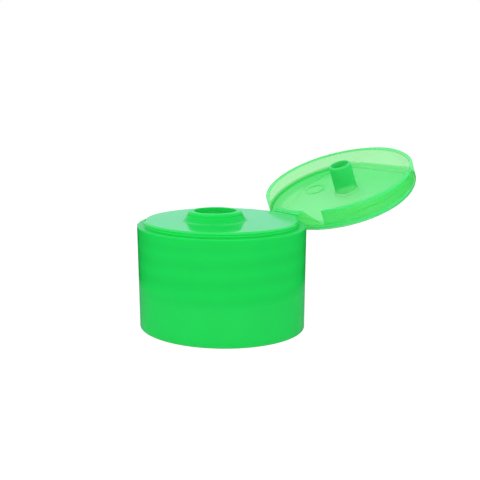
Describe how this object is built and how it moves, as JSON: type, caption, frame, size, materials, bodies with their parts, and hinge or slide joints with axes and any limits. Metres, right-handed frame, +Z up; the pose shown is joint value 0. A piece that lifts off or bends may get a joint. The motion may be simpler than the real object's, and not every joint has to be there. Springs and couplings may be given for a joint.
{
  "type": "flip-top bottle cap",
  "caption": "Oval screw-on bottle cap with a raised spout and a film-hinged snap lid carrying a sealing plug, shown open.",
  "frame": {"origin": "on the neck axis, at the open mouth of the threaded sleeve", "axes": "+Z up along the neck axis towards the spout, +X towards the hinge, +Y along the hinge line"},
  "size_m": [0.0573, 0.0312, 0.0299],
  "materials": {
    "green_plastic_body": "glossy translucent green polypropylene",
    "green_plastic_lid": "glossy translucent green polypropylene, thin wall"
  },
  "bodies": {
    "body": {"cap_body": "green_plastic_body"},
    "lid": {"cap_lid": "green_plastic_lid"}
  },
  "joints": [
    {"name": "lid_hinge", "type": "hinge", "parent": "body", "child": "lid", "pos_m": [0.01495, 0, 0.01262], "axis": [0, -1, 0], "range_deg": [-21.8, 158.2]}
  ]
}
